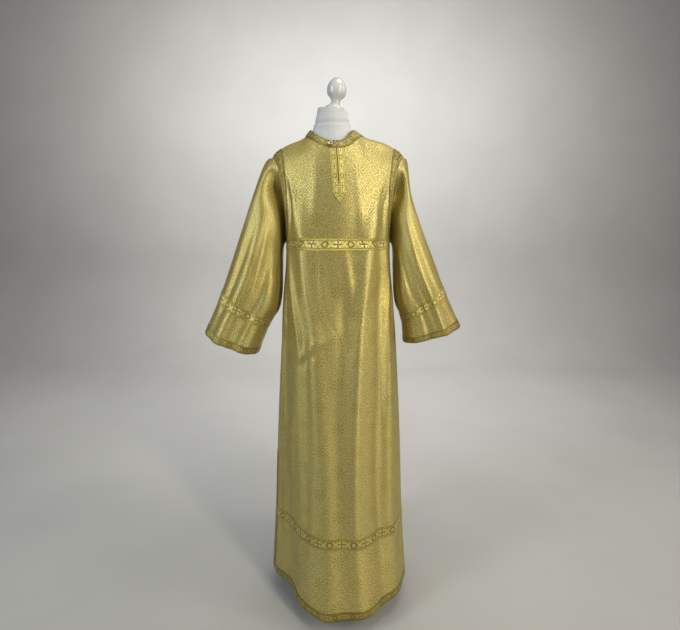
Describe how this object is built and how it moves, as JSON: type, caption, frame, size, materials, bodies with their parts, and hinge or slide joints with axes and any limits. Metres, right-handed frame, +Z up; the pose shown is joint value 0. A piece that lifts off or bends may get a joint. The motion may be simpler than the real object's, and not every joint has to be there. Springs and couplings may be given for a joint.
{
  "type": "sticharion on a dress form",
  "caption": "Long T-shaped brocade vestment with woven gold bands and side slits, standing on a limbless dress form with a round base.",
  "frame": {"origin": "centre of the base's footprint on the floor, under the pole", "axes": "+Z up the pole, -Y to the wearer's front, +X to the viewer's right"},
  "size_m": [0.7946, 0.453, 1.6349],
  "materials": {
    "brocade": "gold and beige jacquard brocade with small crosses, satin sheen",
    "galloon": "woven metallic gold braid with crosses, brighter than the brocade",
    "gilt": "polished gilt button",
    "jersey": "matt white knit cover",
    "white_paint": "glossy white lacquer on a turned cap",
    "steel": "dark satin powder coat"
  },
  "bodies": {
    "root": {"yoke_front": "brocade", "yoke_back": "brocade", "skirt_front": "brocade", "skirt_back": "brocade", "sleeve_left": "brocade", "sleeve_right": "brocade", "neck_trim": "galloon", "placket_left": "galloon", "placket_right": "galloon", "armhole_trim_left": "galloon", "armhole_trim_right": "galloon", "chest_band_front": "galloon", "chest_band_back": "galloon", "sleeve_band_left": "galloon", "sleeve_band_right": "galloon", "cuff_left": "galloon", "cuff_right": "galloon", "hem_band_front": "galloon", "hem_band_back": "galloon", "hem_trim_front": "galloon", "hem_trim_back": "galloon", "slit_trim_front_left": "galloon", "slit_trim_front_right": "galloon", "slit_trim_back_left": "galloon", "slit_trim_back_right": "galloon", "button": "gilt", "form_torso": "jersey", "form_cap": "white_paint", "form_pole": "steel", "form_base": "steel"}
  },
  "joints": []
}
